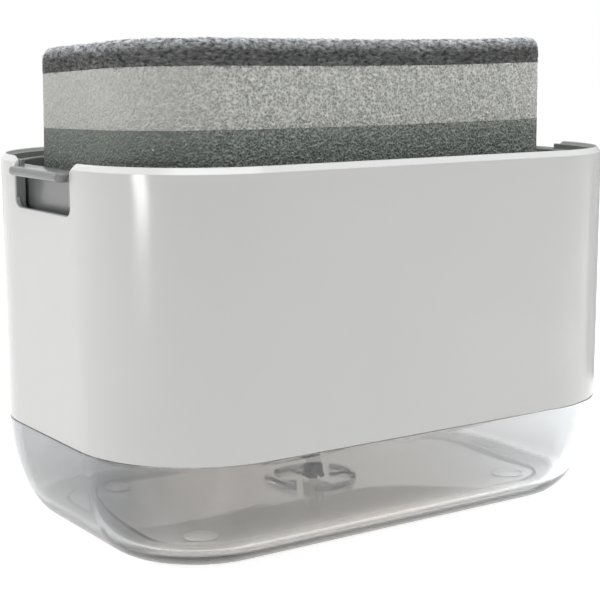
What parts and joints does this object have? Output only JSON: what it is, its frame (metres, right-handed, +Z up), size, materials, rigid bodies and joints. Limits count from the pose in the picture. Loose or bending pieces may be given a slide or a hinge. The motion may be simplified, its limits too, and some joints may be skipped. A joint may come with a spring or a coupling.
{
  "type": "soap pump caddy",
  "caption": "Rounded countertop soap dispenser with a clear tank, white sleeve, grey press tray and layered sponge; pressing the tray pumps liquid up into the sponge.",
  "frame": {"origin": "middle of the footprint, on the plane the foot pads stand on", "axes": "+X along the length through both finger tabs, -Y the front long side, +Z up"},
  "size_m": [0.1496, 0.093, 0.1154],
  "materials": {
    "clear_tank": "clear injection-moulded styrene, polished",
    "foot_silicone": "translucent silicone",
    "seal_silicone": "translucent silicone",
    "white_sleeve": "white ABS with a fine satin gloss",
    "grey_frame": "mid grey ABS, satin",
    "grey_tray": "mid grey ABS, satin",
    "pump_white": "white polypropylene",
    "pump_natural": "natural polypropylene, milky",
    "gasket_foam": "closed-cell polyethylene foam",
    "ball_steel": "polished stainless ball",
    "tube_clear": "clear polyethylene tube",
    "strainer_dark": "dark grey polyethylene",
    "spring_steel": "drawn stainless wire",
    "piston_soft": "soft low-density polyethylene",
    "dark_foam": "open-cell foam, dark grey",
    "light_foam": "open-cell foam, pale grey",
    "scouring_fibre": "bonded abrasive fibre, grey"
  },
  "bodies": {
    "tank": {"tank": "clear_tank", "tank_feet": "foot_silicone"},
    "housing": {"outer_shell": "white_sleeve", "inner_frame": "grey_frame", "tank_seal": "seal_silicone", "pump_closure": "pump_white", "closure_gasket": "gasket_foam", "pump_housing": "pump_natural", "housing_cap": "pump_white", "dip_tube": "tube_clear", "tube_strainer": "strainer_dark", "return_spring": "spring_steel"},
    "plunger": {"pump_stem": "pump_white", "piston_rod": "pump_white", "stem_head": "pump_white", "outlet_valve": "seal_silicone"},
    "piston": {"pump_piston": "piston_soft"},
    "inlet_ball": {"inlet_ball": "ball_steel"},
    "tray": {"sponge_tray": "grey_tray"},
    "sponge": {"foam_base": "dark_foam", "foam_core": "light_foam", "scouring_pad": "scouring_fibre"}
  },
  "joints": [
    {"name": "housing_lift", "type": "slide", "parent": "tank", "child": "housing", "axis": [0, 0, 1], "range_m": [0, 0.05]},
    {"name": "tray_press", "type": "slide", "parent": "housing", "child": "plunger", "axis": [0, 0, -1], "range_m": [0, 0.007], "stiffness_N_per_m": 1200, "springref_m": -0.005, "deforming": ["return_spring"]},
    {"name": "piston_slip", "type": "slide", "parent": "plunger", "child": "piston", "axis": [0, 0, 1], "range_m": [0, 0.0008]},
    {"name": "inlet_ball_lift", "type": "slide", "parent": "housing", "child": "inlet_ball", "axis": [0, 0, 1], "range_m": [0, 0.0015]},
    {"name": "tray_lift", "type": "slide", "parent": "plunger", "child": "tray", "axis": [0, 0, 1], "range_m": [0, 0.03]},
    {"name": "sponge_lift", "type": "slide", "parent": "tray", "child": "sponge", "axis": [0, 0, 1], "range_m": [0, 0.04]}
  ]
}
